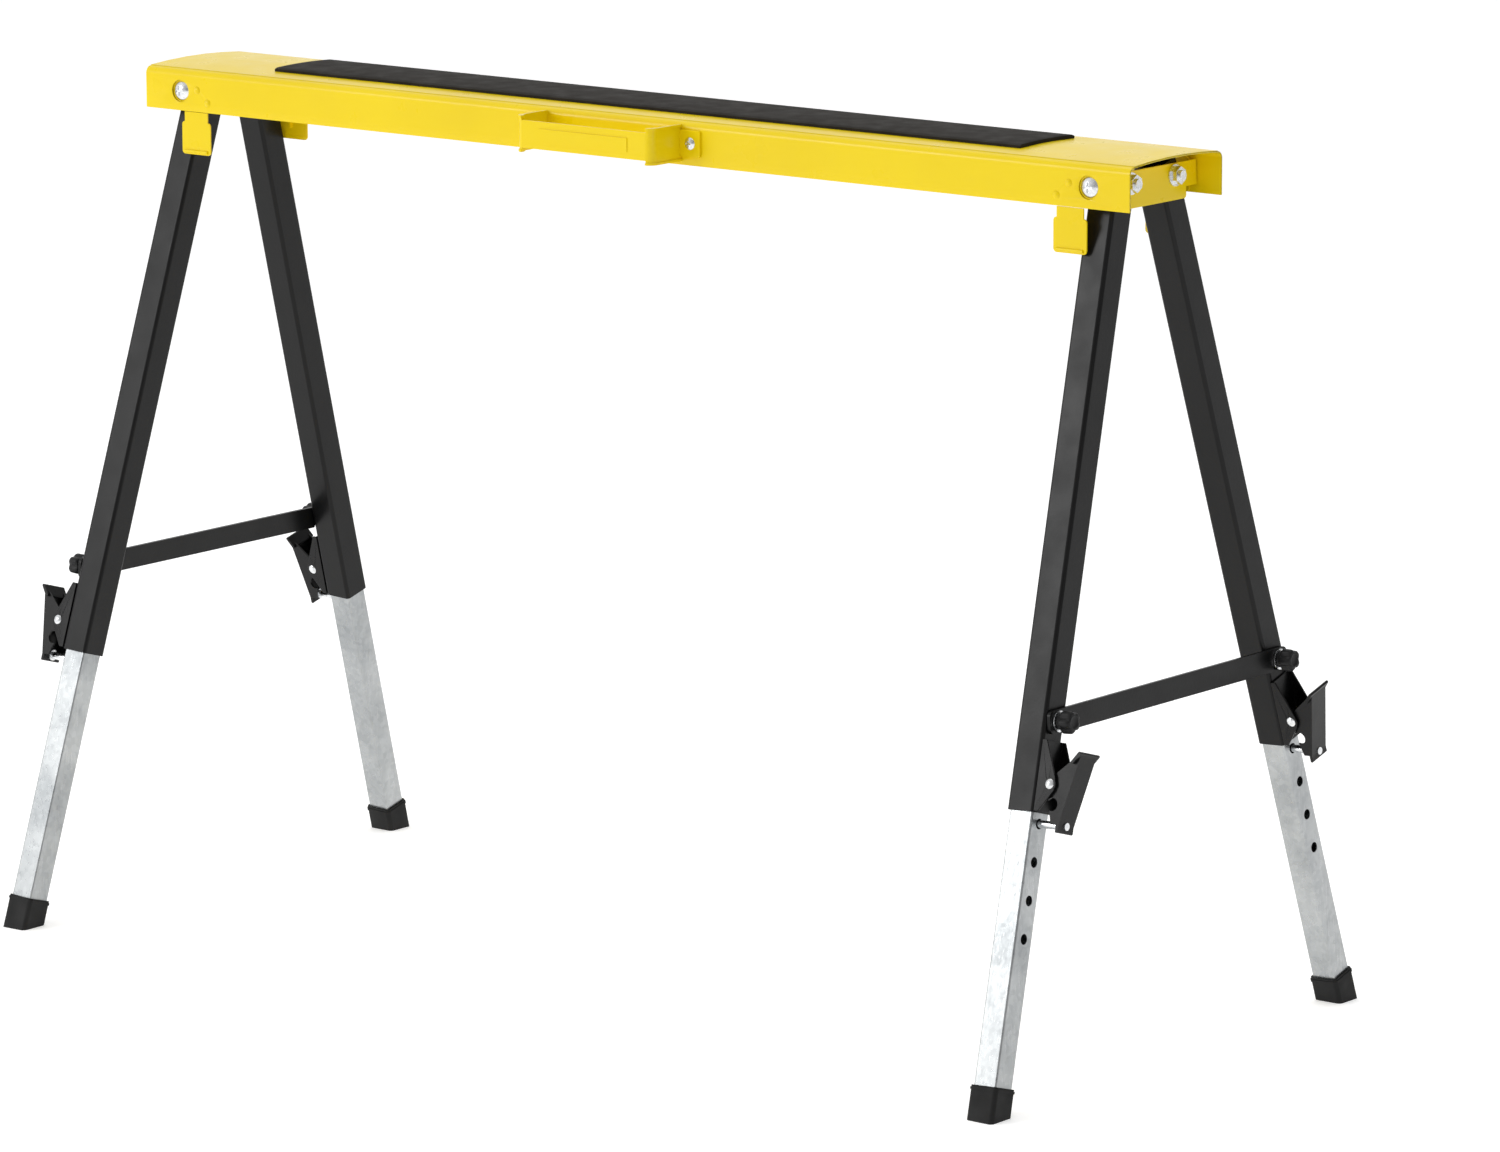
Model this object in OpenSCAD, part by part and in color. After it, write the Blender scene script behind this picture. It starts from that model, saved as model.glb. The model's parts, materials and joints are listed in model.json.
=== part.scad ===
// Folding sawhorse: a crowned steel beam on two folding leg pairs with telescopic feet.
// X runs along the beam, Y from front to back, Z up. The origin is on the floor, mid-beam.
// At rest the legs are open and the feet are part extended.

/* [Beam] */
// Length of the beam
beam_len = 1000; // [900:10:1300]
// Width of the beam across its flanges
beam_w = 120; // [116:1:160]
// Depth of the beam from crown to flange edge
beam_h = 37; // [36:1:50]
// Height of the crown above the edges of the top
crown = 3; // [2:0.5:4]
// Outer bend radius between top and flanges
bend_r = 6; // [4:0.5:7]
// Sheet thickness of the beam
sheet = 1.5; // [1:0.1:1.8]
// Height of the beam top above the floor at rest
work_h = 700; // [660:5:820]

/* [Grip pad] */
// Length of the anti-slip pad
pad_len = 760; // [400:10:860]
// Width of the pad
pad_w = 70; // [30:1:90]
// Thickness of the pad
pad_t = 3; // [2:0.5:5]

/* [Carry handle] */
// Length of the grip between the standoff walls
grip_len = 134; // [110:1:220]
// Clear finger depth behind the grip
finger_gap = 35; // [28:1:50]
// Height of the grip and the screw tabs
strap_h = 22; // [18:1:25]
// Height of the standoff walls
standoff_h = 29; // [26:1:32]
// Strap thickness
strap_t = 2; // [1.5:0.1:2.5]
// Length of each screw tab
tab_len = 20; // [16:1:30]
// Handle screw diameter
screw_d = 5; // [4:0.5:6]

/* [Leg pairs] */
// Distance from the beam end to the fold axis
pivot_in = 38; // [36:1:60]
// Depth of the fold axis below the crown
pivot_drop = 21; // [20:0.5:22]
// Fold bolt diameter
pivot_d = 8; // [6:0.5:9]
// Half the distance between the leg hinges of a pair
hinge_y = 28.5; // [26:0.5:30]
// Leg hinge bolt diameter
hinge_d = 8; // [6:0.5:9]
// Outward lean of each pair along the beam, in degrees
lean = 3; // [1:0.5:5]
// Spread of each leg from the upright, in degrees
spread = 16.5; // [12:0.5:18]
// Yoke plate thickness
yoke_t = 2; // [1.5:0.1:2.4]

/* [Legs] */
// Outer size of the square leg tube
leg_w = 25; // [22:0.5:25.5]
// Wall of the leg tube
leg_wall = 1.5; // [1.2:0.1:2]
// Corner radius of the leg tube
leg_r = 3; // [2.2:0.1:4]
// Length of the leg tube below its hinge
leg_len = 478; // [440:1:520]
// Gap between leg tube and extension on each side
slide_gap = 0.5; // [0.3:0.1:0.8]
// Wall of the extension tube
ext_wall = 1.2; // [1:0.1:1.6]
// Overall length of the extension tube
ext_len = 495; // [420:1:520]
// Pitch of the lock holes
hole_pitch = 29; // [24:1:32]
// Diameter of the lock holes
hole_d = 8; // [7:0.5:9]
// Number of lock holes
hole_count = 11; // [8:1:12]
// Wall of the rubber foot
foot_wall = 2; // [1.6:0.2:3]
// Length of the foot along the leg, at its axis
foot_h = 24; // [20:1:32]

/* [Height locks] */
// Distance of the lever pivot above the leg tube's lower end
lock_up = 22; // [20:1:26]
// Distance of the lever pivot out from the leg face
lock_out = 11.5; // [10:0.5:13]
// Lever rivet diameter
rivet_d = 5; // [4:0.5:5.5]
// Sheet thickness of the lever bracket
bracket_t = 1.5; // [1.2:0.1:1.8]
// Sheet thickness of the lever
lever_t = 2.4; // [2:0.1:2.8]
// Lock pin diameter
pin_d = 6; // [5:0.5:6.5]

/* [Braces] */
// Distance of the brace studs below the leg hinge, along the leg
brace_s = 408; // [360:1:416]
// Height of the flat bar
brace_w = 18; // [14:1:22]
// Thickness of the flat bar
brace_t = 3; // [2:0.5:4]
// Stud diameter
stud_d = 6; // [5:0.5:8]
// Knob diameter over its lobes
knob_d = 18; // [16:1:26]
// Knob length along the stud
knob_len = 13; // [10:1:16]

/* [Release tabs] */
// Width of the thumb tab
tab_w = 31; // [26:1:34]
// Drop of the tab below the flange
tab_drop = 34; // [26:1:36]
// Sheet thickness of the release spring
latch_t = 1.2; // [1:0.1:1.4]

/* [Hidden] */
$fn = 48;

// Colours of the finishes
yellow = "#F0D21F";
black = "#202021";
zinc = "#A7ACAF";
rubber = "#26241F";

// Clearances
fit = 0.05;        // radial, on bolts and rivets that something turns on
loose = 0.3;       // between sheet faces that pass each other
reach = 2;         // how far cutting tools run past a face

// Beam
half_w = beam_w / 2;
inner_y = half_w - sheet;
crown_r = (pow(half_w, 2) + pow(crown, 2)) / (2 * crown);
flange_z = work_h - beam_h;
pivot_x = beam_len / 2 - pivot_in;
pivot_z = work_h - pivot_drop;
head_d = pivot_d + 8;
head_hole_d = head_d + 2.5;
head_h = 3.2;

// Layers inward from each flange: release spring plate, then the yoke ear
plate_out = inner_y;
ear_out = plate_out - latch_t - loose;
ear_in = ear_out - yoke_t;
ear_r = 14;

// Leg pair, measured in its own frame from the fold axis
leg_half = leg_w / 2;
leg_top = 10;
web_in = leg_half + 1.6;
web_top = 9;
web_step = 10;
web_low = 19;
lower_half = ear_out - 14;
floor_s = pivot_z / (cos(spread) * cos(lean));
ext_w = leg_w - 2 * (leg_wall + slide_gap);
ext_r = leg_r - leg_wall;
cap_s = floor_s - foot_h;
foot_w = ext_w + 2 * foot_wall;
foot_floor = 5;
foot_deep = 7;

// Height lock, measured in the leg frame
lock_x = leg_half + lock_out;
lock_s = leg_len - lock_up;
pin_s = leg_len + pin_d / 2 + 5;
arm_half = leg_half - bracket_t - 1;
boss_r = rivet_d / 2 + 2.4;
coil_r = rivet_d / 2 + 1.9;
coil_wire = 0.6;
hook_x = 10;
pin_gap = 0.4;
pin_collar = 1.5;

// Brace, measured in the pair's frame
stud_y = hinge_y + brace_s * sin(spread);
stud_z = -brace_s * cos(spread);
brace_in = leg_half + 0.4;
washer_in = brace_in + brace_t + loose;
washer_t = 1.2;
knob_in = washer_in + washer_t;
slot_w = stud_d + 1.6;
brace_tail = brace_w * 0.6;
brace_end_r = norm([brace_tail, brace_w / 2]);
// The far stud leaves the hook at this angle from straight down, toward the near stud
slot_tilt = atan2(2 * brace_s * cos(spread) * spread, 2 * stud_y * 90);

// Release tab, measured from the fold axis and the flange edge
tab_x = -17;
neck_w = tab_w - 6;
plate_w = 34;
clip_rivet_d = 4;
rivet_head_h = 1.5;

// ---------- frames ----------

// Sets its children for the right or left end of the beam
module end_side(side) {
  if (side > 0) children();
  else mirror([1, 0, 0]) children();
}

// Sets its children for the front or back of the beam
module depth_side(side) {
  if (side < 0) children();
  else mirror([0, 1, 0]) children();
}

// A pair's frame: on the fold axis, leaning outward
module pair_frame(end) {
  end_side(end) translate([pivot_x, 0, pivot_z]) rotate([0, -lean, 0]) children();
}

// A leg's frame: on its hinge, with the leg along -Z and the beam end along +X
module leg_frame(end, depth) {
  pair_frame(end) depth_side(depth) translate([0, -hinge_y, 0]) rotate([-spread, 0, 0]) children();
}

// ---------- shared shapes ----------

// A flat rounded rectangle about the origin
module rounded(w, h, r) {
  square([w - 2 * r, h], center = true);
  square([w, h - 2 * r], center = true);
  for (x = [-1, 1], y = [-1, 1]) translate([x * (w / 2 - r), y * (h / 2 - r)]) circle(r);
}

// A square tube along Z
module tube(w, r, wall, z0, z1) {
  translate([0, 0, z0]) linear_extrude(z1 - z0) difference() {
    rounded(w, w, r);
    rounded(w - 2 * wall, w - 2 * wall, max(r - wall, 0.5));
  }
}

// A cylinder along X from x0 to x1
module rod_x(d, x0, x1) {
  translate([x0, 0, 0]) rotate([0, 90, 0]) cylinder(d = d, h = x1 - x0);
}

// A cylinder along Y from y0 to y1
module rod_y(d, y0, y1) {
  translate([0, y0, 0]) rotate([-90, 0, 0]) cylinder(d = d, h = y1 - y0);
}

// A flat link between two points, with round ends
module link2d(p, q, t) {
  run = q - p;
  translate(p) rotate(atan2(run.y, run.x)) translate([0, -t / 2]) square([norm(run), t]);
  translate(p) circle(d = t);
  translate(q) circle(d = t);
}

// Draws in the X-Z plane and extrudes along Y between y0 and y1
module side_plate(y0, y1) {
  translate([0, y1, 0]) rotate([90, 0, 0]) linear_extrude(y1 - y0) children();
}

// A shallow dome along +X, flat at x = 0
module dome(d, h) {
  dome_r = (pow(d / 2, 2) + pow(h, 2)) / (2 * h);
  rotate([0, 90, 0]) rotate_extrude() intersection() {
    square([d / 2, h]);
    translate([0, h - dome_r]) circle(dome_r, $fn = 96);
  }
}

// A domed screw head along +X with a cross recess
module domed_head(d, h) {
  difference() {
    dome(d, h);
    for (turn = [0, 90]) rotate([turn, 0, 0])
      translate([0.55 * h, -d / 4, -d / 18]) cube([h, d / 2, d / 9]);
  }
}

// ---------- beam ----------

// Outline of the beam in Y-Z, measured down from the crown, shrunk by inset
module beam_outline(inset, drop) {
  r = bend_r - inset;
  w = beam_w - 2 * inset;
  shoulder = -crown - inset;
  intersection() {
    union() {
      translate([-w / 2, -drop]) square([w, drop + shoulder - r]);
      translate([-w / 2 + r, -drop]) square([w - 2 * r, drop]);
      for (side = [-1, 1]) translate([side * (w / 2 - r), shoulder - r]) circle(r);
    }
    translate([0, -crown_r]) circle(crown_r - inset, $fn = 128);
  }
}

module beam_shell() {
  color(yellow) difference() {
    translate([-beam_len / 2, 0, work_h]) rotate([90, 0, 90]) linear_extrude(beam_len) difference() {
      beam_outline(0, beam_h);
      beam_outline(sheet, beam_h + reach);
    }
    for (end = [-1, 1]) {
      translate([end * pivot_x, 0, pivot_z])
        rod_y(head_hole_d, -half_w - reach, half_w + reach);
      for (depth = [-1, 1], i = [0, 1]) rivet_place(end, depth, i) rod_y(clip_rivet_d, -reach, reach + sheet);
    }
    for (end = [-1, 1]) handle_hole_place(end) rod_y(screw_d + 2 * fit, -reach, reach + sheet);
  }
}

// The two rivets that hold each release spring, from the outer face of the flange
module rivet_place(end, depth, i) {
  end_side(end) depth_side(depth)
    translate([pivot_x + (i == 0 ? -18.5 : -30), -half_w, pivot_z + (i == 0 ? 2 : -8)]) children();
}

// The handle screws, from the outer face of the front flange
module handle_hole_place(end) {
  end_side(end)
    translate([grip_len / 2 + strap_t + tab_len / 2, -half_w, work_h - beam_h / 2 - 1]) children();
}

module grip_pad() {
  color(rubber) translate([-pad_len / 2, 0, work_h]) rotate([90, 0, 90]) linear_extrude(pad_len)
    intersection() {
      difference() {
        translate([0, -crown_r]) circle(crown_r + pad_t, $fn = 128);
        translate([0, -crown_r]) circle(crown_r, $fn = 128);
      }
      translate([-pad_w / 2, -crown]) square([pad_w, crown + pad_t + reach]);
    }
}

// ---------- carry handle ----------

// The strap seen from above: grip, standoff walls with round bends, and screw tabs
module strap_outline(extra) {
  r = 7;
  full = finger_gap + strap_t;
  outer = grip_len + 2 * strap_t;
  difference() {
    union() {
      translate([-outer / 2 + r, -full - extra]) square([outer - 2 * r, full + extra]);
      translate([-outer / 2 - extra, -full + r]) square([outer + 2 * extra, full - r]);
      for (side = [-1, 1]) translate([side * (outer / 2 - r), -full + r]) circle(r + extra);
    }
    translate([-grip_len / 2 + r, -finger_gap]) square([grip_len - 2 * r, finger_gap + reach]);
    translate([-grip_len / 2, -finger_gap + r]) square([grip_len, finger_gap + reach]);
    for (side = [-1, 1]) translate([side * (grip_len / 2 - r), -finger_gap + r]) circle(r - strap_t / 2);
  }
}

// The part of the strap that stands off the flange at each end of the grip
module standoff_outline(extra) {
  intersection() {
    strap_outline(extra);
    for (side = [-1, 1]) translate([side * (grip_len / 2 + strap_t), -finger_gap / 2])
      square([2 * strap_t + 8, finger_gap + 2 * strap_t + 2 * extra], center = true);
  }
}

module carry_handle() {
  rim = 1.8;
  panel = 0.6;
  mid_z = work_h - beam_h / 2 - 1;
  color(yellow) difference() {
    translate([0, -half_w, mid_z]) {
      translate([0, 0, -strap_h / 2]) linear_extrude(strap_h) strap_outline(0);
      translate([0, 0, -standoff_h / 2]) linear_extrude(standoff_h) standoff_outline(0);
      for (z = [-standoff_h / 2, standoff_h / 2 - rim]) translate([0, 0, z])
        linear_extrude(rim) standoff_outline(0.8);
      translate([-grip_len / 3, -finger_gap - strap_t - panel, -strap_h / 4])
        cube([grip_len * 2 / 3, strap_t, strap_h / 2]);
      for (side = [-1, 1]) translate([side * (grip_len / 2 + strap_t + tab_len / 2 - 0.5), -strap_t / 2, 0])
        rotate([90, 0, 0]) linear_extrude(strap_t, center = true) rounded(tab_len + 1, strap_h - 1, 2);
    }
    for (end = [-1, 1]) handle_hole_place(end) rod_y(screw_d + 2 * fit, -strap_t - reach, reach);
  }
}

module handle_screws() {
  color(zinc) for (end = [-1, 1]) handle_hole_place(end) {
    rod_y(screw_d, -strap_t, sheet + 5);
    translate([0, -strap_t, 0]) rotate([0, 0, -90]) domed_head(screw_d * 2, screw_d / 2);
    translate([0, sheet, 0]) rotate([-90, 0, 0]) cylinder(d = screw_d * 1.8, h = screw_d * 0.8, $fn = 6);
  }
}

// ---------- release springs ----------

// Places its children at a release spring: on the fold axis, at the flange's inner face
module latch_frame(end, depth) {
  end_side(end) depth_side(depth) translate([pivot_x, -plate_out, pivot_z]) children();
}

module latch_plates() {
  top = pivot_drop - crown - bend_r - 1;
  low = flange_z - pivot_z;
  color(yellow) for (end = [-1, 1], depth = [-1, 1]) difference() {
    latch_frame(end, depth) side_plate(0, latch_t)
      translate([tab_x + 3, (top + low) / 2]) rounded(plate_w + 12, top - low, 3);
    latch_frame(end, depth) rod_y(pivot_d + 2 * fit, -reach, latch_t + reach);
    for (i = [0, 1]) rivet_place(end, depth, i) rod_y(clip_rivet_d, -reach, sheet + latch_t + reach);
  }
}

module latch_rivets() {
  color(yellow) for (end = [-1, 1], depth = [-1, 1], i = [0, 1]) rivet_place(end, depth, i) {
    rod_y(clip_rivet_d, 0, sheet + latch_t);
    rotate([0, 0, -90]) dome(clip_rivet_d + 2.5, rivet_head_h);
  }
}

// The thumb tab hangs below the flange, in line with it, and turns about its top edge
module latch(end, depth) {
  edge = flange_z - pivot_z - 0.4;
  neck = 9;
  catch_x = -leg_half - 3.5;
  catch_w = 2;
  color(yellow) latch_frame(end, depth) {
    side_plate(-sheet, -sheet + latch_t) {
      translate([tab_x, edge - neck / 2]) square([neck_w, neck], center = true);
      translate([tab_x, edge - (neck + tab_drop) / 2]) rounded(tab_w, tab_drop - neck + 2, 3);
    }
    translate([tab_x - neck_w / 2, -sheet + latch_t / 2, edge - latch_t / 2]) rod_x(latch_t, 0, neck_w);
    translate([tab_x - tab_w / 2 + 3, -sheet, edge - tab_drop + 1.4]) rod_x(2.8, 0, tab_w - 6);
    translate([catch_x, -sheet + latch_t / 2, edge - tab_drop * 0.75])
      cube([catch_w, 3, tab_drop * 0.4]);
  }
}

// ---------- fold axis ----------

module pivot_bolts() {
  tail = yoke_t + loose + latch_t;
  nut_h = 4.5;
  color(zinc) for (end = [-1, 1], depth = [-1, 1]) latch_frame(end, depth) {
    rod_y(pivot_d, 0, tail + nut_h + loose + 1.5);
    rotate([0, 0, -90]) domed_head(head_d, head_h);
    translate([0, tail + loose, 0]) rotate([-90, 0, 0]) cylinder(d = pivot_d * 1.75, h = nut_h, $fn = 6);
  }
}

// Web outline in Y-Z: full width at the top, stepped in below
module web_outline() {
  translate([-ear_out, -web_step]) square([2 * ear_out, web_top + web_step]);
  translate([-lower_half + 3, -web_low]) square([2 * lower_half - 6, web_low]);
  translate([-lower_half, -web_low + 3]) square([2 * lower_half, web_low - 3]);
  for (side = [-1, 1]) translate([side * (lower_half - 3), -web_low + 3]) circle(3);
}

module yoke(end) {
  color(yellow) pair_frame(end) difference() {
    union() {
      translate([web_in, 0, 0]) rotate([90, 0, 90]) linear_extrude(yoke_t) web_outline();
      for (side = [-1, 1]) side_plate(side > 0 ? ear_in : -ear_out, side > 0 ? ear_out : -ear_in) {
        circle(ear_r);
        translate([0, -web_step]) square([web_in + yoke_t, web_top + web_step]);
      }
    }
    rod_y(pivot_d + 2 * fit, -half_w, half_w);
    for (side = [-1, 1]) translate([0, side * hinge_y, 0])
      rod_x(hinge_d + 2 * fit, web_in - reach, web_in + yoke_t + reach);
  }
}

module leg_hinge_bolts(end) {
  head_t = 2.6;
  nut_h = 5;
  web_out = web_in + yoke_t;
  color(zinc) pair_frame(end) for (side = [-1, 1]) translate([0, side * hinge_y, 0]) {
    rod_x(hinge_d, -leg_half - loose, web_out + 1.4 + nut_h + 2);
    rod_x(hinge_d + 5, -leg_half - loose - head_t, -leg_half - loose);
    difference() {
      union() {
        rod_x(hinge_d + 8, leg_half + loose, web_in);
        rod_x(hinge_d + 9, web_out, web_out + 1.4);
      }
      rod_x(hinge_d, 0, web_out + reach);
    }
    translate([web_out + 1.4, 0, 0]) rotate([0, 90, 0]) cylinder(d = hinge_d * 1.75, h = nut_h, $fn = 6);
  }
}

// ---------- legs ----------

module leg(end, depth) {
  color(black) leg_frame(end, depth) difference() {
    tube(leg_w, leg_r, leg_wall, -leg_len, leg_top);
    rod_x(hinge_d + 2 * fit, -leg_w, leg_w);
  }
}

module extension(end, depth) {
  color(zinc) leg_frame(end, depth) difference() {
    tube(ext_w, ext_r, ext_wall, -cap_s - foot_deep + foot_floor, -cap_s - foot_deep + foot_floor + ext_len);
    for (i = [0:hole_count - 1]) translate([0, 0, -pin_s + (i - 3) * hole_pitch])
      rod_x(hole_d, 0, ext_w);
  }
}

// The rubber foot is a cap on the extension with its sole flat on the floor at rest
module foot(end, depth) {
  cap_top = -cap_s;
  seat = -cap_s - foot_deep + foot_floor;
  difference() {
    color(rubber) leg_frame(end, depth) difference() {
      union() {
        translate([0, 0, cap_top - 2 * foot_h]) linear_extrude(2 * foot_h) rounded(foot_w, foot_w, ext_r + foot_wall);
        translate([0, 0, cap_top - 3.5]) linear_extrude(2) rounded(foot_w + 1, foot_w + 1, ext_r + foot_wall);
      }
      translate([0, 0, seat]) linear_extrude(2 * foot_h) rounded(ext_w, ext_w, ext_r);
    }
    translate([-beam_len, -beam_len, -beam_len]) cube([2 * beam_len, 2 * beam_len, beam_len]);
  }
}

// ---------- height locks ----------

// The lever's pivot, in the leg frame
module lock_frame(end, depth) {
  leg_frame(end, depth) translate([lock_x, 0, -lock_s]) children();
}

module lever_bracket(end, depth) {
  up = lock_s - brace_s - brace_end_r - 1;
  down = lock_up - 1;
  nose = 5.5;
  lip = 4;
  brow = [-lock_out + 11, up / 2];
  color(black) lock_frame(end, depth) difference() {
    union() {
      translate([-lock_out, -leg_half + leg_r, -down]) cube([bracket_t, leg_w - 2 * leg_r, up + down]);
      for (y = [-leg_half, leg_half - bracket_t]) side_plate(y, y + bracket_t) {
        polygon([[-lock_out, -down], [-lock_out + lip, -down], [nose - 1, -nose + 1],
                 [nose - 1, nose - 1], brow, [-lock_out + lip, up], [-lock_out, up]]);
        circle(nose);
      }
      for (y = [-leg_half + 0.4, leg_half - leg_r - 0.4])
        translate([-lock_out, y, -down]) cube([bracket_t, leg_r, up + down]);
    }
    rod_y(rivet_d, -leg_half - reach, leg_half + reach);
    leg_clear();
  }
}

// Room for the leg tube, seen from the lever's pivot
module leg_clear() {
  translate([-lock_x, 0, -leg_len]) linear_extrude(2 * leg_len) rounded(leg_w, leg_w, leg_r);
}

module lever_rivet(end, depth) {
  color(zinc) lock_frame(end, depth) {
    rod_y(rivet_d, -leg_half, leg_half);
    for (side = [-1, 1]) translate([0, side * leg_half, 0])
      rotate([0, 0, side * 90]) dome(rivet_d + 3, rivet_head_h);
  }
}

module lever(end, depth) {
  tip = [22, 23];
  heel = [hook_x, -(pin_s - lock_s)];
  wall = 1.6;
  window_r = 5;
  color(black) lock_frame(end, depth) difference() {
    union() {
      side_plate(-arm_half, arm_half) {
        link2d(tip, heel, lever_t);
        link2d(heel, heel - [0, pin_d / 2 + 1.5], lever_t);
      }
      side_plate(-leg_half, leg_half) link2d(tip - [4, 5], tip + [1.5, 2], lever_t);
      for (y = [-arm_half, arm_half - wall]) side_plate(y, y + wall) {
        polygon([[-1, boss_r], [tip.x - 5, tip.y - 3], tip, heel, [heel.x - 6, heel.y], [-boss_r + 1, -2]]);
        circle(boss_r);
      }
    }
    rod_y(rivet_d + 2 * fit, -leg_half, leg_half);
    translate([3, 0, heel.y / 2]) rod_y(2 * window_r, -leg_half, leg_half);
    translate([0, 0, heel.y]) rod_x(pin_d, -lock_x, lock_x);
  }
}

module lock_pin(end, depth) {
  color(zinc) lock_frame(end, depth) translate([0, 0, -(pin_s - lock_s)]) {
    rod_x(pin_d, ext_w / 2 + pin_gap - lock_x, hook_x + lever_t);
    rod_x(pin_d + 3, hook_x - lever_t / 2 - pin_collar, hook_x - lever_t / 2);
  }
}

module lever_spring(end, depth) {
  turns = 6;
  pitch = 2 * coil_wire - 0.1;
  span = (turns - 1) * pitch;
  arm_d = 2 * coil_wire - 0.2;
  color(zinc) lock_frame(end, depth) {
    translate([0, -span / 2, 0]) rotate([-90, 0, 0]) rotate_extrude()
      for (i = [0:turns - 1]) translate([coil_r, i * pitch]) circle(coil_wire);
    translate([-lock_out + bracket_t, span / 2, coil_r]) rod_x(arm_d, 0, lock_out - bracket_t);
  }
}

// ---------- braces ----------

module brace(end) {
  throat = slot_w / 2 - 0.3;
  mouth = slot_w / 2 + 1.5;
  color(black) pair_frame(end) translate([brace_in, 0, stud_z]) difference() {
    rotate([90, 0, 90]) linear_extrude(brace_t) difference() {
      rounded(2 * (stud_y + brace_tail), brace_w, 5);
      translate([stud_y, 0]) {
        circle(d = slot_w);
        rotate(-slot_tilt) polygon([[-throat, 1], [throat, 1], [mouth, -brace_w], [-mouth, -brace_w]]);
      }
    }
    translate([0, -stud_y, 0]) rod_x(stud_d + 2 * fit, -reach, brace_t + reach);
  }
}

// A stud's frame: on the outboard side of a leg
module stud_frame(end, depth) {
  leg_frame(end, depth) translate([0, 0, -brace_s]) children();
}

module brace_stud(end, depth) {
  color(zinc) stud_frame(end, depth) {
    rod_x(stud_d, leg_half, knob_in + knob_len - 3);
    difference() {
      rod_x(knob_d * 0.9, washer_in, washer_in + washer_t);
      rod_x(stud_d, washer_in - reach, knob_in + reach);
    }
  }
}

module knob(end, depth) {
  lobes = 5;
  lobe_r = knob_d / 7;
  core_r = knob_d / 2 - lobe_r;
  bore = knob_len - 2.5;
  color(black) stud_frame(end, depth) translate([knob_in + 0.1, 0, 0]) difference() {
    union() {
      rod_x(knob_d * 0.7, 0, 3);
      translate([3, 0, 0]) rotate([0, 90, 0]) linear_extrude(knob_len - 4.5) {
        circle(core_r);
        for (i = [0:lobes - 1]) rotate(i * 360 / lobes) translate([core_r, 0]) circle(lobe_r);
      }
      rod_x(2 * core_r - 1, knob_len - 2, knob_len);
    }
    rod_x(stud_d + 2 * fit, -reach, bore);
  }
}

// ---------- nodes ----------

ENDS = [["left", -1], ["right", 1]];
DEPTHS = [["front", -1], ["back", 1]];

beam_shell();
grip_pad();
carry_handle();
handle_screws();
latch_plates();
latch_rivets();
pivot_bolts();
for (e = ENDS) {
  yoke(e[1]);
  leg_hinge_bolts(e[1]);
  brace(e[1]);
}
for (e = ENDS, d = DEPTHS) {
  place = str(d[0], "_", e[0]);
  latch(e[1], d[1]);
  leg(e[1], d[1]);
  extension(e[1], d[1]);
  foot(e[1], d[1]);
  lever_bracket(e[1], d[1]);
  lever_rivet(e[1], d[1]);
  lever_spring(e[1], d[1]);
  lever(e[1], d[1]);
  lock_pin(e[1], d[1]);
  brace_stud(e[1], d[1]);
  knob(e[1], d[1]);
}
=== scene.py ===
"""Looks of a folding sawhorse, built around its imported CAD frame.

Sub-assembly classes dress the CAD nodes with procedural finishes, and stand detailed
meshes in for the parts whose plain solids would show. All lengths are in metres.
"""

import json
import logging
import math
from dataclasses import dataclass, field
from enum import Enum
from typing import Any, Callable, Iterable, Sequence

import bmesh
import bpy
from mathutils import Matrix, Vector


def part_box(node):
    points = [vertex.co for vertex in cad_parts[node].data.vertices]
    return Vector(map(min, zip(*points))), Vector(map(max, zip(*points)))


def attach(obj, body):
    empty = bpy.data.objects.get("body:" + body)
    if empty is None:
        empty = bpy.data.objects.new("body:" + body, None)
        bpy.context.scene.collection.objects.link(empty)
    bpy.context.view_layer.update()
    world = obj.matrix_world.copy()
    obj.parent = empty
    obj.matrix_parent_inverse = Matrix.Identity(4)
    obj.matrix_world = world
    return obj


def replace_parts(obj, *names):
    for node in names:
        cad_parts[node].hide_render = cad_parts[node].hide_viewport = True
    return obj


LOG = logging.getLogger("sawhorse")
MM = 0.001
WELD_GAP = 0.01 * MM
BEVEL_ANGLE = math.radians(40)
CREASE_ANGLE = math.radians(35)
SHEET_EDGE = 0.35 * MM
TUBE_EDGE = 0.25 * MM
SPRING_EDGE = 0.3 * MM
EXTENSION_EDGE = 0.2 * MM
BAR_EDGE = 0.5 * MM
RUBBER_EDGE = 0.7 * MM

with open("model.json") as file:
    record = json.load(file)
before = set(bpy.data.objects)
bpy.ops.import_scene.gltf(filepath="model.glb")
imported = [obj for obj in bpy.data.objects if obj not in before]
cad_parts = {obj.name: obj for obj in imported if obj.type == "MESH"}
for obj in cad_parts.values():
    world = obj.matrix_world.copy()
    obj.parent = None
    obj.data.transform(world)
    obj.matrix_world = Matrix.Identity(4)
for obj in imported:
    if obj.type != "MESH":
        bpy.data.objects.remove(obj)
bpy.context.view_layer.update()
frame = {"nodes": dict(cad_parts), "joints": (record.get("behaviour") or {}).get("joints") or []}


class Slot(Enum):
    """The record's material slots."""

    YELLOW = "yellow_paint"
    BLACK = "black_paint"
    ZINC = "zinc"
    PAD = "pad_rubber"
    FOOT = "foot_rubber"
    KNOB = "knob_plastic"


class Side(Enum):
    """The four corners of the sawhorse, as the CAD names them."""

    FRONT_LEFT = "front_left"
    BACK_LEFT = "back_left"
    FRONT_RIGHT = "front_right"
    BACK_RIGHT = "back_right"


# ---------------------------------------------------------------- finishes


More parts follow.
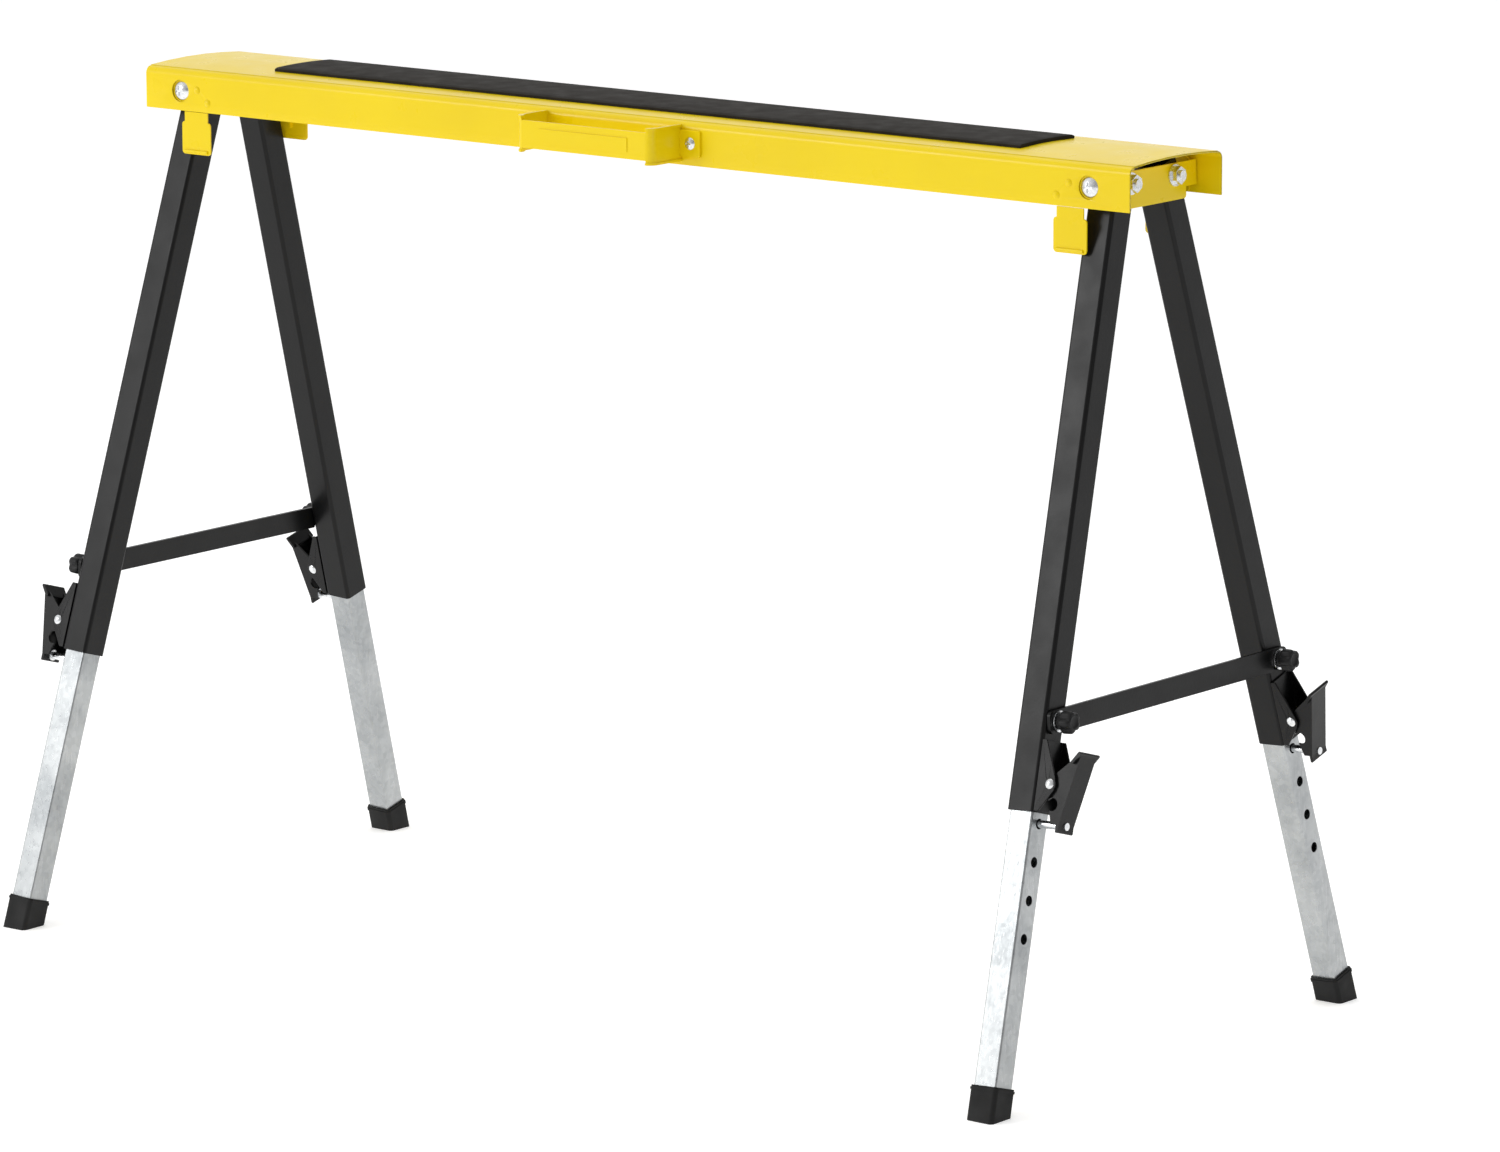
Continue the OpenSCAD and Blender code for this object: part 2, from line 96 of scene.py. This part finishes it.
class Graph:
    """A small helper that lays out one material's shader nodes."""

    def __init__(self, name: str) -> None:
        """Starts a material with an empty node tree.

        Args:
            name: The material's name.
        """
        self.material = bpy.data.materials.new(name)
        self.material.use_nodes = True
        self.tree = self.material.node_tree
        self.tree.nodes.clear()
        self.output = self.add("ShaderNodeOutputMaterial")
        self.shader = self.add("ShaderNodeBsdfPrincipled")
        self.tree.links.new(self.shader.outputs[0], self.output.inputs["Surface"])
        self.coords = self.add("ShaderNodeTexCoord").outputs["Object"]

    def add(self, kind: str, **settings: Any) -> bpy.types.Node:
        """Adds a node and sets its properties.

        Args:
            kind: The node's type.
            **settings: Property names and values.

        Returns:
            The new node.
        """
        node = self.tree.nodes.new(kind)
        for key, value in settings.items():
            setattr(node, key, value)
        return node

    def join(self, source: bpy.types.NodeSocket, target: bpy.types.NodeSocket) -> None:
        """Links one socket to another."""
        self.tree.links.new(source, target)

    def noise(
        self,
        scale: float,
        detail: float = 4.0,
        stretch: Sequence[float] = (1, 1, 1),
    ) -> bpy.types.NodeSocket:
        """Adds noise in object space.

        Args:
            scale: Features per metre.
            detail: Octaves of the noise.
            stretch: Scale along X, Y and Z.

        Returns:
            The noise's value from 0 to 1.
        """
        place = self.add("ShaderNodeMapping")
        place.inputs["Scale"].default_value = tuple(stretch)
        self.join(self.coords, place.inputs["Vector"])
        node = self.add("ShaderNodeTexNoise")
        node.inputs["Scale"].default_value = scale
        node.inputs["Detail"].default_value = detail
        self.join(place.outputs[0], node.inputs["Vector"])
        return node.outputs["Fac"]

    def cells(self, scale: float) -> bpy.types.NodeSocket:
        """Adds flat cells of random grey, as on spangled zinc.

        Args:
            scale: Cells per metre.

        Returns:
            The cells' grey value.
        """
        node = self.add("ShaderNodeTexVoronoi")
        node.inputs["Scale"].default_value = scale
        self.join(self.coords, node.inputs["Vector"])
        grey = self.add("ShaderNodeSeparateColor")
        self.join(node.outputs["Color"], grey.inputs[0])
        return grey.outputs[0]

    def ramp(
        self,
        value: bpy.types.NodeSocket,
        low: float,
        high: float,
        start: float,
        end: float,
    ) -> bpy.types.NodeSocket:
        """Maps a value from one range to another, without overshoot.

        Args:
            value: The socket to map.
            low: The input that gives start.
            high: The input that gives end.
            start: The output at low.
            end: The output at high.

        Returns:
            The mapped value.
        """
        node = self.add("ShaderNodeMapRange", clamp=True)
        limits = {"From Min": low, "From Max": high, "To Min": start, "To Max": end}
        for name, number in limits.items():
            node.inputs[name].default_value = number
        self.join(value, node.inputs["Value"])
        return node.outputs["Result"]

    def blend(
        self,
        share: bpy.types.NodeSocket,
        first: Sequence[float],
        second: Sequence[float],
    ) -> bpy.types.NodeSocket:
        """Mixes two colours.

        Args:
            share: How much of the second colour shows.
            first: RGB of the first colour.
            second: RGB of the second colour.

        Returns:
            The mixed colour.
        """
        node = self.add("ShaderNodeMix", data_type="RGBA")
        node.inputs["A"].default_value = (*first, 1)
        node.inputs["B"].default_value = (*second, 1)
        self.join(share, node.inputs["Factor"])
        return node.outputs["Result"]

    def bump(self, height: bpy.types.NodeSocket, strength: float, distance: float) -> None:
        """Adds a bump on top of those added before it.

        Args:
            height: The height field.
            strength: How strong the bump is, from 0 to 1.
            distance: The height in metres that 1 stands for.
        """
        node = self.add("ShaderNodeBump")
        node.inputs["Strength"].default_value = strength
        node.inputs["Distance"].default_value = distance
        self.join(height, node.inputs["Height"])
        normal = self.shader.inputs["Normal"]
        if normal.is_linked:
            self.join(normal.links[0].from_socket, node.inputs["Normal"])
        self.join(node.outputs[0], normal)


@dataclass(frozen=True)
class Finish:
    """A surface finish. Subclasses lay out its nodes."""

    name: str
    colour: tuple[float, float, float]
    aged: tuple[float, float, float]
    roughness: tuple[float, float]

    def material(self) -> bpy.types.Material:
        """Returns the finish's material, made once."""
        found = bpy.data.materials.get(self.name)
        if found is None:
            graph = Graph(self.name)
            self.lay_out(graph)
            found = graph.material
        return found

    def lay_out(self, graph: Graph) -> None:
        """Lays out the finish's nodes.

        Args:
            graph: The material to fill.
        """
        raise NotImplementedError


@dataclass(frozen=True)
class PowderCoat(Finish):
    """Sprayed and baked paint: orange peel, faint clouding and a hard gloss."""

    peel: float = 0.12
    coat: float = 0.35
    shine: float = 0.5

    def lay_out(self, graph: Graph) -> None:
        """Lays out the paint.

        Args:
            graph: The material to fill.
        """
        cloud = graph.ramp(graph.noise(9, 5), 0.3, 0.75, 0, 1)
        dust = graph.ramp(graph.noise(160, 6), 0.55, 0.8, 0, 0.25)
        total = graph.add("ShaderNodeMath", operation="MAXIMUM")
        graph.join(cloud, total.inputs[0])
        graph.join(dust, total.inputs[1])
        graph.join(graph.blend(total.outputs[0], self.colour, self.aged), graph.shader.inputs["Base Color"])
        rough = graph.ramp(graph.noise(40, 5), 0.3, 0.7, *self.roughness)
        graph.join(rough, graph.shader.inputs["Roughness"])
        graph.shader.inputs["Specular IOR Level"].default_value = self.shine
        graph.shader.inputs["Coat Weight"].default_value = self.coat
        graph.shader.inputs["Coat Roughness"].default_value = 0.12
        graph.bump(graph.noise(420, 3), self.peel, 0.0004)
        graph.bump(graph.noise(26, 2), self.peel * 0.5, 0.0012)


@dataclass(frozen=True)
class Galvanised(Finish):
    """Zinc-coated tube: soft spangle, drawn streaks along its length and handling smudges."""

    def lay_out(self, graph: Graph) -> None:
        """Lays out the zinc.

        Args:
            graph: The material to fill.
        """
        spangle = graph.cells(240)
        smudge = graph.ramp(graph.noise(22, 6), 0.42, 0.72, 0, 1)
        streak = graph.noise(110, 5, (6, 6, 0.35))
        mixed = graph.add("ShaderNodeMix", data_type="FLOAT")
        mixed.inputs["Factor"].default_value = 0.3
        graph.join(smudge, mixed.inputs["A"])
        graph.join(spangle, mixed.inputs["B"])
        graph.join(graph.blend(mixed.outputs["Result"], self.colour, self.aged), graph.shader.inputs["Base Color"])
        graph.shader.inputs["Metallic"].default_value = 1
        graph.join(graph.ramp(streak, 0.3, 0.7, *self.roughness), graph.shader.inputs["Roughness"])
        graph.bump(streak, 0.08, 0.0004)
        graph.bump(graph.noise(60, 4), 0.1, 0.0006)


@dataclass(frozen=True)
class Plated(Finish):
    """Bright zinc plate on bolts, rivets, springs and washers."""

    def lay_out(self, graph: Graph) -> None:
        """Lays out the plate.

        Args:
            graph: The material to fill.
        """
        dull = graph.ramp(graph.noise(380, 5), 0.4, 0.7, 0, 1)
        graph.join(graph.blend(dull, self.colour, self.aged), graph.shader.inputs["Base Color"])
        graph.shader.inputs["Metallic"].default_value = 1
        graph.join(graph.ramp(graph.noise(700, 4), 0.3, 0.7, *self.roughness), graph.shader.inputs["Roughness"])
        graph.bump(graph.noise(1400, 2), 0.06, 0.0002)


@dataclass(frozen=True)
class Grain(Finish):
    """Matte rubber or moulded plastic with a fine pebbled grain."""

    grain: float = 1500
    depth: float = 0.00015

    def lay_out(self, graph: Graph) -> None:
        """Lays out the rubber.

        Args:
            graph: The material to fill.
        """
        chalk = graph.ramp(graph.noise(30, 6), 0.45, 0.8, 0, 1)
        graph.join(graph.blend(chalk, self.colour, self.aged), graph.shader.inputs["Base Color"])
        graph.join(graph.ramp(graph.noise(70, 5), 0.3, 0.7, *self.roughness), graph.shader.inputs["Roughness"])
        graph.shader.inputs["Specular IOR Level"].default_value = 0.2
        graph.bump(graph.noise(self.grain, 3), 0.5, self.depth)


YELLOW = PowderCoat("yellow enamel", (0.86, 0.645, 0.0), (0.8, 0.585, 0.002), (0.26, 0.36), 0.12, 0.12, 0.22)
BLACK = PowderCoat("black powder coat", (0.003, 0.003, 0.0031), (0.006, 0.006, 0.0063), (0.3, 0.4), 0.14, 0.04, 0.2)
TUBE_ZINC = Galvanised("galvanised tube", (0.47, 0.485, 0.49), (0.28, 0.295, 0.305), (0.24, 0.42))
PLATE = Plated("zinc plate", (0.80, 0.81, 0.82), (0.60, 0.62, 0.64), (0.16, 0.32))
PAD = Grain("pad rubber", (0.015, 0.0125, 0.0095), (0.024, 0.0205, 0.017), (0.72, 0.9), 900, 0.0003)
FOOT = Grain("foot rubber", (0.011, 0.011, 0.011), (0.02, 0.02, 0.02), (0.5, 0.68))
KNOB = Grain("knob plastic", (0.012, 0.012, 0.0125), (0.022, 0.022, 0.022), (0.38, 0.52), 2200, 0.0001)


# ---------------------------------------------------------------- mesh helpers


def dress(node: str, finish: Finish, bevel: float = SHEET_EDGE) -> bpy.types.Object:
    """Gives a CAD node its finish, broken edges and smooth shading.

    Args:
        node: The CAD node's name.
        finish: The finish to wear.
        bevel: Width of the broken edges, or 0 for none.

    Returns:
        The node's object.
    """
    piece = frame["nodes"][node]
    piece.data.materials.clear()
    piece.data.materials.append(finish.material())
    weld = piece.modifiers.new("weld", "WELD")
    weld.merge_threshold = WELD_GAP
    if bevel:
        edge = piece.modifiers.new("edges", "BEVEL")
        edge.width = bevel
        edge.segments = 2
        edge.limit_method = "ANGLE"
        edge.angle_limit = BEVEL_ANGLE
        edge.use_clamp_overlap = True
    flats = piece.modifiers.new("flats", "WEIGHTED_NORMAL")
    flats.keep_sharp = True
    soften(piece)
    LOG.info("dressed %s in %s", node, finish.name)
    return piece


def soften(piece: bpy.types.Object) -> None:
    """Shades a mesh smooth, with creases at its sharp edges."""
    for face in piece.data.polygons:
        face.use_smooth = True
    piece.data.set_sharp_from_angle(angle=CREASE_ANGLE)


def add_piece(name: str, shape: bmesh.types.BMesh, finish: Finish, body: str) -> bpy.types.Object:
    """Turns a bmesh into a finished piece that rides on a body.

    Args:
        name: The piece's name.
        shape: Its mesh, which is used up.
        finish: Its finish.
        body: The CAD body that it moves with.

    Returns:
        The new object.
    """
    bmesh.ops.recalc_face_normals(shape, faces=shape.faces)
    mesh = bpy.data.meshes.new(name)
    shape.to_mesh(mesh)
    shape.free()
    piece = bpy.data.objects.new(name, mesh)
    bpy.context.scene.collection.objects.link(piece)
    mesh.materials.append(finish.material())
    soften(piece)
    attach(piece, body)
    LOG.info("built %s", name)
    return piece


def loft(rings: Sequence[Sequence[Vector]], closed: bool = False) -> bmesh.types.BMesh:
    """Skins a run of rings of equal length.

    Args:
        rings: The rings, each a loop of points.
        closed: Whether the last ring meets the first; else both ends are capped.

    Returns:
        The skinned mesh.
    """
    shape = bmesh.new()
    loops = [[shape.verts.new(point) for point in ring] for ring in rings]
    pairs = list(zip(loops, loops[1:]))
    if closed:
        pairs.append((loops[-1], loops[0]))
    for low, high in pairs:
        count = len(low)
        for i in range(count):
            shape.faces.new((low[i], low[(i + 1) % count], high[(i + 1) % count], high[i]))
    if not closed:
        shape.faces.new(loops[0])
        shape.faces.new(loops[-1])
    return shape


@dataclass
class Axis:
    """A line through a point, with two directions square to it."""

    point: Vector
    along: Vector
    across: Vector = field(init=False)
    up: Vector = field(init=False)

    def __post_init__(self) -> None:
        """Finds the two square directions."""
        self.along = self.along.normalized()
        seed = Vector((0, 0, 1)) if abs(self.along.z) < 0.8 else Vector((1, 0, 0))
        self.across = self.along.cross(seed).normalized()
        self.up = self.across.cross(self.along).normalized()

    @classmethod
    def of_joint(cls, name: str) -> "Axis":
        """Reads a joint's axis from the frame.

        Args:
            name: The joint's name.

        Returns:
            The joint's axis.
        """
        joint = next(j for j in frame["joints"] if j["name"] == name)
        return cls(Vector(joint.get("pos_m", (0, 0, 0))), Vector(joint["axis"]))

    def at(self, along: float, radius: float, angle: float) -> Vector:
        """Returns a point at a distance along the axis, a radius and an angle."""
        turn = self.across * math.cos(angle) + self.up * math.sin(angle)
        return self.point + self.along * along + turn * radius

    def span(self, node: str) -> tuple[float, float]:
        """Returns how far a CAD node reaches along the axis, lowest and highest."""
        reach = [(v.co - self.point).dot(self.along) for v in frame["nodes"][node].data.vertices]
        return min(reach), max(reach)

    def radius(self, node: str) -> float:
        """Returns how far a CAD node reaches out from the axis."""
        return max(
            ((v.co - self.point) - self.along * (v.co - self.point).dot(self.along)).length
            for v in frame["nodes"][node].data.vertices
        )


# ---------------------------------------------------------------- sub-assemblies


@dataclass
class Beam:
    """The crowned channel beam with its pad, fold bolts and release springs."""

    bolts: tuple[str, ...] = ("pivot_bolts", "handle_screws")
    sheet: tuple[str, ...] = ("beam_shell", "latch_plates", "latch_rivets", "carry_handle")
    unbroken: str = "beam_shell"

    def build(self) -> None:
        """Dresses the beam and lays the pad."""
        for node in self.sheet:
            dress(node, YELLOW, 0.0 if node == self.unbroken else SHEET_EDGE)
        for node in self.bolts:
            dress(node, PLATE, TUBE_EDGE)
        for side in Side:
            dress(f"latch_{side.value}", YELLOW, SPRING_EDGE)
        GripPad().build()


@dataclass
class GripPad:
    """The anti-slip pad: a thin rubber sheet that follows the crown, with soft cut edges."""

    across: int = 28
    along: int = 120
    edge: float = 0.8 * MM

    def build(self) -> bpy.types.Object:
        """Builds the pad in the CAD pad's space.

        Returns:
            The pad's object.
        """
        low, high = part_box("grip_pad")
        verts = [v.co for v in frame["nodes"]["grip_pad"].data.vertices]
        rim_top = max(v.z for v in verts if abs(v.y) > high.y - 0.1 * MM)
        rim_low = min(v.z for v in verts if abs(v.y) > high.y - 0.1 * MM)
        thick = rim_top - rim_low
        drop = (high.z - rim_top) / high.y**2

        def ring(x: float, inset: float) -> list[Vector]:
            """Returns the pad's cross-section at x, drawn in by inset."""
            half = high.y - inset
            base = thick * 0.04
            ys = [-half + 2 * half * i / self.across for i in range(self.across + 1)]
            lift = [thick - inset - self.round_off(abs(y), half) for y in ys]
            top = [Vector((x, y, high.z - drop * y * y - thick + up)) for y, up in zip(ys, lift)]
            bottom = [Vector((x, y, high.z - drop * y * y - thick + base)) for y in reversed(ys)]
            return top + bottom

        stations = [low.x + (high.x - low.x) * i / self.along for i in range(self.along + 1)]
        rings = [ring(low.x, self.edge)]
        rings += [ring(low.x + self.edge * 0.3, self.edge * 0.3), ring(low.x + self.edge, 0)]
        rings += [ring(x, 0) for x in stations[1:-1]]
        rings += [ring(high.x - self.edge, 0), ring(high.x - self.edge * 0.3, self.edge * 0.3)]
        rings.append(ring(high.x, self.edge))
        piece = add_piece("pad_sheet", loft(rings), PAD, "beam")
        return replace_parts(piece, "grip_pad")

    def round_off(self, y: float, half: float) -> float:
        """Returns how far the top edge falls near the pad's long sides."""
        gap = max(0.0, y - (half - self.edge))
        return self.edge - math.sqrt(max(0.0, self.edge**2 - gap**2))


@dataclass
class Pair:
    """A leg pair's yoke, hinge bolts and brace."""

    end: str

    def build(self) -> None:
        """Dresses the pair."""
        dress(f"yoke_{self.end}", YELLOW)
        dress(f"leg_hinge_bolts_{self.end}", PLATE, TUBE_EDGE)
        dress(f"brace_{self.end}", BLACK, BAR_EDGE)


@dataclass
class Leg:
    """One telescopic leg: tube, extension, foot, height lock and brace knob."""

    side: Side

    def build(self) -> None:
        """Dresses the leg and builds its spring and knob."""
        name = self.side.value
        dress(f"leg_{name}", BLACK, TUBE_EDGE)
        dress(f"lever_bracket_{name}", BLACK, SPRING_EDGE)
        dress(f"lever_{name}", BLACK)
        dress(f"extension_{name}", TUBE_ZINC, EXTENSION_EDGE)
        dress(f"foot_{name}", FOOT, RUBBER_EDGE)
        for part in ("lever_rivet", "lock_pin", "brace_stud"):
            dress(f"{part}_{name}", PLATE, TUBE_EDGE)
        Knob(self.side).build()
        TorsionSpring(self.side).build()


@dataclass
class Knob:
    """A moulded clamping knob with soft lobes and a dished face."""

    side: Side
    lobes: int = 5
    around: int = 100
    skirt: float = 0.24
    depth: float = 0.11

    def build(self) -> bpy.types.Object:
        """Builds the knob in the CAD knob's space.

        Returns:
            The knob's object.
        """
        node = f"knob_{self.side.value}"
        axis = Axis.of_joint(f"turn_{self.side.value}")
        low, high = axis.span(node)
        radius = axis.radius(node)
        length = high - low
        collar = radius * 0.7
        levels: list[tuple[float, float, float]] = [
            (0.0, collar * 0.94, 0), (0.03, collar, 0), (self.skirt - 0.02, collar, 0),
            (self.skirt, radius * 0.88, 0.6), (self.skirt + 0.06, radius * 0.97, 1),
            (self.skirt + 0.16, radius, 1), (0.8, radius * 0.985, 1), (0.9, radius * 0.95, 1),
            (0.97, radius * 0.86, 0.9), (1.0, radius * 0.72, 0.7), (1.0, radius * 0.56, 0.3),
            (0.95, radius * 0.46, 0), (0.92, radius * 0.3, 0), (0.915, radius * 0.1, 0),
        ]
        rings = [
            [axis.at(low + share * length, self.lobed(size, wave, i), 2 * math.pi * i / self.around)
             for i in range(self.around)]
            for share, size, wave in levels
        ]
        piece = add_piece(f"knob_grip_{self.side.value}", loft(rings), KNOB, node)
        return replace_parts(piece, node)

    def lobed(self, size: float, wave: float, step: int) -> float:
        """Returns the radius at a step round the knob, with its lobes."""
        turn = 2 * math.pi * step / self.around
        dip = (1 - math.cos(self.lobes * turn)) / 2
        return size * (1 - wave * self.depth * 2 * dip**1.6)


@dataclass
class TorsionSpring:
    """The lever's return spring, built as a real coil round the rivet without its straight leg."""

    side: Side
    turns: int = 6
    per_turn: int = 28
    sides: int = 8

    def build(self) -> bpy.types.Object:
        """Builds the coil in the CAD spring's space.

        Returns:
            The spring's object.
        """
        node = f"lever_spring_{self.side.value}"
        axis = Axis.of_joint(f"release_{self.side.value}")
        low, high = axis.span(node)
        wire = (high - low) / (self.turns + 1) * 0.46
        radius = self.coil_radius(node, axis) - wire
        centre = [
            (low + wire + (high - low - 2 * wire) * i / (self.turns * self.per_turn), i)
            for i in range(self.turns * self.per_turn + 1)
        ]
        rings = []
        for along, i in centre:
            turn = 2 * math.pi * i / self.per_turn
            rings.append([
                axis.at(along + wire * math.sin(a), radius + wire * math.cos(a), turn)
                for a in (2 * math.pi * k / self.sides for k in range(self.sides))
            ])
        piece = add_piece(f"coil_{self.side.value}", loft(rings), PLATE, f"leg_{self.side.value}")
        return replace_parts(piece, node)

    def coil_radius(self, node: str, axis: Axis) -> float:
        """Returns the coil's outer radius, as the median distance of the CAD spring's points from the axis."""
        out = []
        for v in frame["nodes"][node].data.vertices:
            arm = (v.co - axis.point) - axis.along * (v.co - axis.point).dot(axis.along)
            out.append(arm.length)
        out.sort()
        return out[len(out) // 2]


# ---------------------------------------------------------------- studio


@dataclass
class Camera:
    """The view: a long lens in front of the right end, a little above the beam."""

    place: tuple[float, float, float] = (3.8232, -4.6789, 1.5041)
    azimuth: float = 38.60
    tilt: float = -11.11
    roll: float = -0.23
    focal: float = 184.4

    def build(self) -> None:
        """Makes the camera and sets it as the scene's."""
        turn, tilt, roll = (math.radians(v) for v in (self.azimuth, self.tilt, self.roll))
        ahead = Vector((-math.sin(turn) * math.cos(tilt), math.cos(turn) * math.cos(tilt), math.sin(tilt)))
        right = ahead.cross(Vector((0, 0, 1))).normalized()
        up = right.cross(ahead)
        side = right * math.cos(roll) + up * math.sin(roll)
        top = up * math.cos(roll) - right * math.sin(roll)
        data = bpy.data.cameras.new("camera")
        data.lens = self.focal
        data.sensor_width = 36
        data.clip_end = 50
        camera = bpy.data.objects.new("camera", data)
        matrix = Matrix((side, top, -ahead)).transposed().to_4x4()
        matrix.translation = Vector(self.place)
        camera.matrix_world = matrix
        bpy.context.scene.collection.objects.link(camera)
        bpy.context.scene.camera = camera


@dataclass
class Studio:
    """A pale seamless floor, a bright surround and three soft boxes."""

    floor_size: float = 60.0
    surround: float = 0.95
    shaded: float = 0.2
    fade_from: float = -0.6
    fade_to: float = 0.9
    floor_roughness: float = 0.75
    floor_glow: float = 0.42

    def build(self) -> None:
        """Makes the floor, the surround and the lights."""
        self.lay_floor()
        self.light_surround()
        self.soft_box("overhead", (0.2, 0.6, 3.2), (0, 0, 0.6), (3.4, 2.2), 30)
        self.soft_box("key", (-2.6, -3.6, 2.0), (0, 0, 0.45), (1.6, 1.6), 52)
        self.soft_box("fill", (4.2, -1.2, 1.2), (0, 0, 0.35), (1.2, 2.4), 5)

    def lay_floor(self) -> None:
        """Lays the floor as a plain square plane."""
        half = self.floor_size / 2
        shape = bmesh.new()
        corners = ((-half, -half), (half, -half), (half, half), (-half, half))
        shape.faces.new([shape.verts.new((x, y, 0)) for x, y in corners])
        mesh = bpy.data.meshes.new("floor")
        shape.to_mesh(mesh)
        shape.free()
        floor = bpy.data.objects.new("floor", mesh)
        bpy.context.scene.collection.objects.link(floor)
        graph = Graph("pale floor")
        pale = graph.blend(graph.ramp(graph.noise(3, 3), 0.3, 0.7, 0, 1), (0.9, 0.9, 0.9), (0.88, 0.88, 0.88))
        graph.join(pale, graph.shader.inputs["Base Color"])
        graph.shader.inputs["Roughness"].default_value = self.floor_roughness
        graph.shader.inputs["Emission Color"].default_value = (1, 1, 1, 1)
        graph.shader.inputs["Emission Strength"].default_value = self.floor_glow
        mesh.materials.append(graph.material)

    def light_surround(self) -> None:
        """Sets a plain white world that is dimmer towards the right end."""
        world = bpy.data.worlds.new("surround")
        world.use_nodes = True
        backdrop = world.node_tree.nodes["Background"]
        backdrop.inputs["Color"].default_value = (1, 1, 1, 1)
        tree = world.node_tree
        axes = tree.nodes.new("ShaderNodeSeparateXYZ")
        fade = tree.nodes.new("ShaderNodeMapRange")
        fade.inputs["From Min"].default_value = self.fade_from
        fade.inputs["From Max"].default_value = self.fade_to
        fade.inputs["To Min"].default_value = self.surround
        fade.inputs["To Max"].default_value = self.shaded
        tree.links.new(tree.nodes.new("ShaderNodeTexCoord").outputs["Generated"], axes.inputs[0])
        tree.links.new(axes.outputs["X"], fade.inputs["Value"])
        tree.links.new(fade.outputs["Result"], backdrop.inputs["Strength"])
        bpy.context.scene.world = world

    def soft_box(
        self,
        name: str,
        place: Sequence[float],
        target: Sequence[float],
        size: tuple[float, float],
        power: float,
    ) -> None:
        """Hangs one soft box.

        Args:
            name: The light's name.
            place: Where it hangs.
            target: The point that it faces.
            size: Its width and height.
            power: Its power in watts.
        """
        data = bpy.data.lights.new(name, "AREA")
        data.shape = "RECTANGLE"
        data.size, data.size_y = size
        data.energy = power
        lamp = bpy.data.objects.new(name, data)
        lamp.location = place
        aim = Vector(target) - Vector(place)
        lamp.rotation_euler = aim.to_track_quat("-Z", "Y").to_euler()
        bpy.context.scene.collection.objects.link(lamp)


def build_all(steps: Iterable[Callable[[], Any]]) -> None:
    """Runs the build steps in order."""
    for step in steps:
        step()


def main() -> None:
    """Builds the whole sawhorse and its studio."""
    logging.basicConfig(level=logging.INFO, format="%(name)s: %(message)s")
    bpy.context.scene.view_settings.view_transform = "Standard"
    assemblies = [Beam(), Pair("left"), Pair("right"), *(Leg(side) for side in Side), Studio(), Camera()]
    build_all(assembly.build for assembly in assemblies)


if __name__ == "__main__":
    main()
